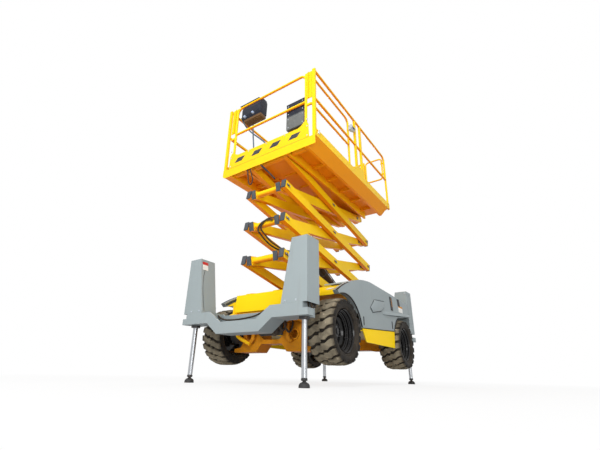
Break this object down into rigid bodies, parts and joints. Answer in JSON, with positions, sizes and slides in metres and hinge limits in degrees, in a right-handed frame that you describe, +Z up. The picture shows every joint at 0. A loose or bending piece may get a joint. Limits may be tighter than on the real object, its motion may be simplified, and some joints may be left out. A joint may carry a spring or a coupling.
{
  "type": "rough-terrain scissor lift",
  "caption": "Rough-terrain scissor lift on levelling jacks, with a stack of folding arms and a railed platform whose front deck slides out.",
  "frame": {"origin": "on the floor, under the middle of the base", "axes": "+X towards the end where the platform extends, +Y to the machine's left, +Z up"},
  "size_m": [3.181, 1.814, 3.9133],
  "materials": {
    "yellow_paint": "semi-gloss",
    "grey_paint": "semi-gloss",
    "dark_grey_paint": "satin",
    "orange_paint": "satin",
    "black_paint": "gloss",
    "tyre_rubber": "matt",
    "chrome_rod": "polished",
    "cast_metal": "rough",
    "black_plastic": "matt",
    "grey_plastic": "matt"
  },
  "bodies": {
    "chassis": {"chassis_frame": "yellow_paint", "front_panel": "yellow_paint", "front_beam": "grey_paint", "rear_beam": "grey_paint", "front_jack_covers": "grey_paint", "rear_jack_covers": "grey_paint", "front_axle": "orange_paint", "rear_axle": "orange_paint", "left_side_tray": "yellow_paint", "right_side_tray": "yellow_paint", "engine_block": "cast_metal", "hydraulic_tank": "dark_grey_paint", "arch_plates": "orange_paint"},
    "left_steering": {"left_knuckle": "cast_metal"},
    "right_steering": {"right_knuckle": "cast_metal"},
    "front_left_wheel": {"front_left_tyre": "tyre_rubber", "front_left_rim": "black_paint"},
    "front_right_wheel": {"front_right_tyre": "tyre_rubber", "front_right_rim": "black_paint"},
    "rear_left_wheel": {"rear_left_tyre": "tyre_rubber", "rear_left_rim": "black_paint"},
    "rear_right_wheel": {"rear_right_tyre": "tyre_rubber", "rear_right_rim": "black_paint"},
    "front_left_jack": {"front_left_jack_rod": "chrome_rod", "front_left_jack_foot": "cast_metal"},
    "front_right_jack": {"front_right_jack_rod": "chrome_rod", "front_right_jack_foot": "cast_metal"},
    "rear_left_jack": {"rear_left_jack_rod": "chrome_rod", "rear_left_jack_foot": "cast_metal"},
    "rear_right_jack": {"rear_right_jack_rod": "chrome_rod", "rear_right_jack_foot": "cast_metal"},
    "left_hood": {"left_hood": "grey_paint"},
    "right_hood": {"right_hood": "grey_paint"},
    "stage_1_inner": {"stage_1_inner_frame": "yellow_paint"},
    "stage_1_outer": {"stage_1_outer_arms": "yellow_paint"},
    "stage_2_inner": {"stage_2_inner_frame": "yellow_paint"},
    "stage_2_outer": {"stage_2_outer_arms": "yellow_paint"},
    "stage_3_inner": {"stage_3_inner_frame": "yellow_paint"},
    "stage_3_outer": {"stage_3_outer_arms": "yellow_paint"},
    "stage_4_inner": {"stage_4_inner_frame": "yellow_paint"},
    "stage_4_outer": {"stage_4_outer_arms": "yellow_paint"},
    "platform": {"platform_deck": "yellow_paint", "deck_beams": "yellow_paint", "roller_channels": "yellow_paint", "left_deck_skirt": "yellow_paint", "right_deck_skirt": "yellow_paint", "left_rails": "yellow_paint", "right_rails": "yellow_paint", "rear_rails": "yellow_paint"},
    "lift_barrel": {"lift_cylinder_barrel": "black_paint"},
    "lift_rod": {"lift_cylinder_rod": "chrome_rod"},
    "extension": {"extension_deck": "yellow_paint", "extension_rails": "yellow_paint", "control_box": "black_plastic", "document_case": "grey_plastic"},
    "gate": {"rear_gate": "yellow_paint"}
  },
  "joints": [
    {"name": "left_steer", "type": "hinge", "parent": "chassis", "child": "left_steering", "pos_m": [0.91, 0.52, 0.526], "axis": [0, 0, 1], "range_deg": [-25, 25]},
    {"name": "right_steer", "type": "hinge", "parent": "chassis", "child": "right_steering", "pos_m": [0.91, -0.52, 0.526], "axis": [0, 0, 1], "range_deg": [-25, 25]},
    {"name": "front_left_wheel_spin", "type": "hinge", "parent": "left_steering", "child": "front_left_wheel", "pos_m": [0.91, 0.757, 0.526], "axis": [0, 1, 0], "continuous": true},
    {"name": "front_right_wheel_spin", "type": "hinge", "parent": "right_steering", "child": "front_right_wheel", "pos_m": [0.91, -0.757, 0.526], "axis": [0, 1, 0], "continuous": true},
    {"name": "rear_left_wheel_spin", "type": "hinge", "parent": "chassis", "child": "rear_left_wheel", "pos_m": [-0.963, 0.757, 0.526], "axis": [0, 1, 0], "continuous": true},
    {"name": "rear_right_wheel_spin", "type": "hinge", "parent": "chassis", "child": "rear_right_wheel", "pos_m": [-0.963, -0.757, 0.526], "axis": [0, 1, 0], "continuous": true},
    {"name": "front_left_jack_slide", "type": "slide", "parent": "chassis", "child": "front_left_jack", "axis": [0, 0, 1], "range_m": [-0.1, 0.44]},
    {"name": "front_right_jack_slide", "type": "slide", "parent": "chassis", "child": "front_right_jack", "axis": [0, 0, 1], "range_m": [-0.1, 0.44]},
    {"name": "rear_left_jack_slide", "type": "slide", "parent": "chassis", "child": "rear_left_jack", "axis": [0, 0, 1], "range_m": [-0.1, 0.44]},
    {"name": "rear_right_jack_slide", "type": "slide", "parent": "chassis", "child": "rear_right_jack", "axis": [0, 0, 1], "range_m": [-0.1, 0.44]},
    {"name": "left_hood_hinge", "type": "hinge", "parent": "chassis", "child": "left_hood", "pos_m": [-0.15, 0.455, 1.2], "axis": [1, 0, 0], "range_deg": [0, 40]},
    {"name": "right_hood_hinge", "type": "hinge", "parent": "chassis", "child": "right_hood", "pos_m": [-0.15, -0.455, 1.2], "axis": [-1, 0, 0], "range_deg": [0, 40]},
    {"name": "lift", "type": "hinge", "parent": "chassis", "child": "stage_1_inner", "pos_m": [1.1955, 0, 0.912], "axis": [0, 1, 0], "range_deg": [-7, 37]},
    {"name": "stage_1_centre_pivot", "type": "hinge", "parent": "stage_1_inner", "child": "stage_1_outer", "pos_m": [0.009, 0, 1.138], "axis": [0, 1, 0], "range_deg": [-74.5, 14.5]},
    {"name": "stage_2_front_pivot", "type": "hinge", "parent": "stage_1_outer", "child": "stage_2_inner", "pos_m": [1.1955, 0, 1.364], "axis": [0, 1, 0], "range_deg": [-14.5, 74.5]},
    {"name": "stage_2_centre_pivot", "type": "hinge", "parent": "stage_2_inner", "child": "stage_2_outer", "pos_m": [0.009, 0, 1.59], "axis": [0, 1, 0], "range_deg": [-74.5, 14.5]},
    {"name": "stage_3_front_pivot", "type": "hinge", "parent": "stage_2_outer", "child": "stage_3_inner", "pos_m": [1.1955, 0, 1.816], "axis": [0, 1, 0], "range_deg": [-14.5, 74.5]},
    {"name": "stage_3_centre_pivot", "type": "hinge", "parent": "stage_3_inner", "child": "stage_3_outer", "pos_m": [0.009, 0, 2.042], "axis": [0, 1, 0], "range_deg": [-74.5, 14.5]},
    {"name": "stage_4_front_pivot", "type": "hinge", "parent": "stage_3_outer", "child": "stage_4_inner", "pos_m": [1.1955, 0, 2.268], "axis": [0, 1, 0], "range_deg": [-14.5, 74.5]},
    {"name": "stage_4_centre_pivot", "type": "hinge", "parent": "stage_4_inner", "child": "stage_4_outer", "pos_m": [0.009, 0, 2.494], "axis": [0, 1, 0], "range_deg": [-74.5, 14.5]},
    {"name": "platform_pivot", "type": "hinge", "parent": "stage_4_outer", "child": "platform", "pos_m": [1.1955, 0, 2.72], "axis": [0, 1, 0], "range_deg": [-7.5, 37.5]},
    {"name": "lift_barrel_pivot", "type": "hinge", "parent": "stage_1_inner", "child": "lift_barrel", "pos_m": [-0.84844, 0, 1.17917], "axis": [0, 1, 0], "range_deg": [-66, 13]},
    {"name": "lift_rod_slide", "type": "slide", "parent": "lift_barrel", "child": "lift_rod", "axis": [0.8982, 0, 0.4397], "range_m": [-0.063, 0.325]},
    {"name": "extension_slide", "type": "slide", "parent": "platform", "child": "extension", "axis": [1, 0, 0], "range_m": [0, 1]},
    {"name": "gate_hinge", "type": "hinge", "parent": "platform", "child": "gate", "pos_m": [-1.1985, 0.717, 3.64], "axis": [0, 0, 1], "range_deg": [0, 90]}
  ],
  "couplings": [
    {"joint": "right_steer", "follows": "left_steer", "ratio": 1},
    {"joint": "stage_1_centre_pivot", "follows": "lift", "ratio": -2},
    {"joint": "stage_2_front_pivot", "follows": "lift", "ratio": 2},
    {"joint": "stage_2_centre_pivot", "follows": "lift", "ratio": -2},
    {"joint": "stage_3_front_pivot", "follows": "lift", "ratio": 2},
    {"joint": "stage_3_centre_pivot", "follows": "lift", "ratio": -2},
    {"joint": "stage_4_front_pivot", "follows": "lift", "ratio": 2},
    {"joint": "stage_4_centre_pivot", "follows": "lift", "ratio": -2},
    {"joint": "platform_pivot", "follows": "lift", "ratio": 1},
    {"joint": "lift_barrel_pivot", "follows": "lift", "ratio": -1.7519},
    {"joint": "lift_rod_slide", "follows": "lift", "m_per_rad": 0.49927}
  ]
}
